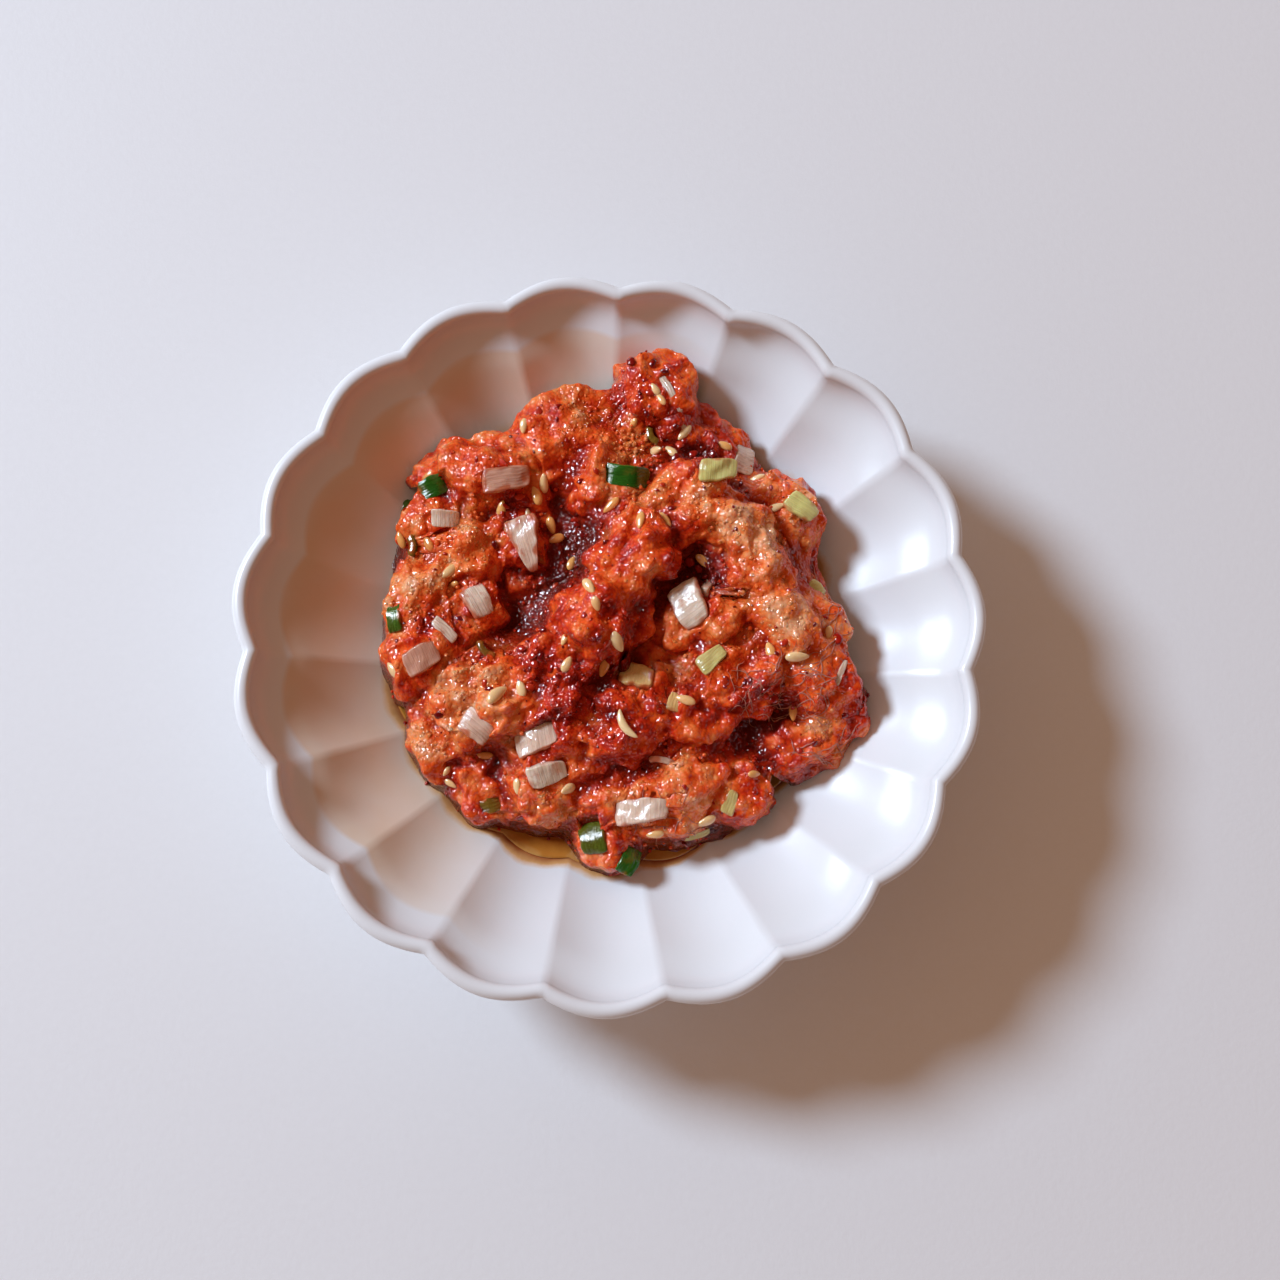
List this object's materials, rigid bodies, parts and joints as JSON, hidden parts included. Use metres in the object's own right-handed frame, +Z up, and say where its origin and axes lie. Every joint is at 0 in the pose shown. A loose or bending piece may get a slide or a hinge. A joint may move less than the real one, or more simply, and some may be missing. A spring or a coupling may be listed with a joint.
{
  "type": "bowl of seasoned pollock roe",
  "caption": "Small scalloped white porcelain bowl holding a heap of seasoned pollock roe with scallion, sesame and chilli oil.",
  "frame": {"origin": "middle of the foot ring's underside, on the surface that the bowl stands on", "axes": "+Z up through the middle of the bowl, +Y towards the back of the dish, +X to its right"},
  "size_m": [0.1096, 0.1095, 0.0329],
  "materials": {
    "porcelain": "white glossy glaze",
    "roe": "wet, grainy, orange red",
    "red oil": "clear amber oil",
    "green": "wet green scallion",
    "light green": "wet light green scallion",
    "white": "wet white scallion, finely striped",
    "garlic": "wet yellow garlic"
  },
  "bodies": {
    "root": {"bowl": "porcelain", "roe": "roe", "sauce": "red oil", "scallion_green_ridge": "green", "scallion_green_left": "green", "scallion_green_side": "green", "scallion_green_front": "green", "scallion_green_tip": "green", "scallion_light_green": "light green", "scallion_pale_sheet": "white", "scallion_yellow": "light green", "scallion_white_middle": "white", "scallion_pale_right": "light green", "garlic_middle": "garlic", "scallion_white_front": "white", "scallion_glossy_front": "white", "scallion_white_low": "white", "scallion_pink_left": "white", "scallion_grey_left": "white", "scallion_grey_upper": "white", "scallion_red_upper": "white", "scallion_leaf": "white", "scallion_brown_left": "white"}
  },
  "joints": []
}
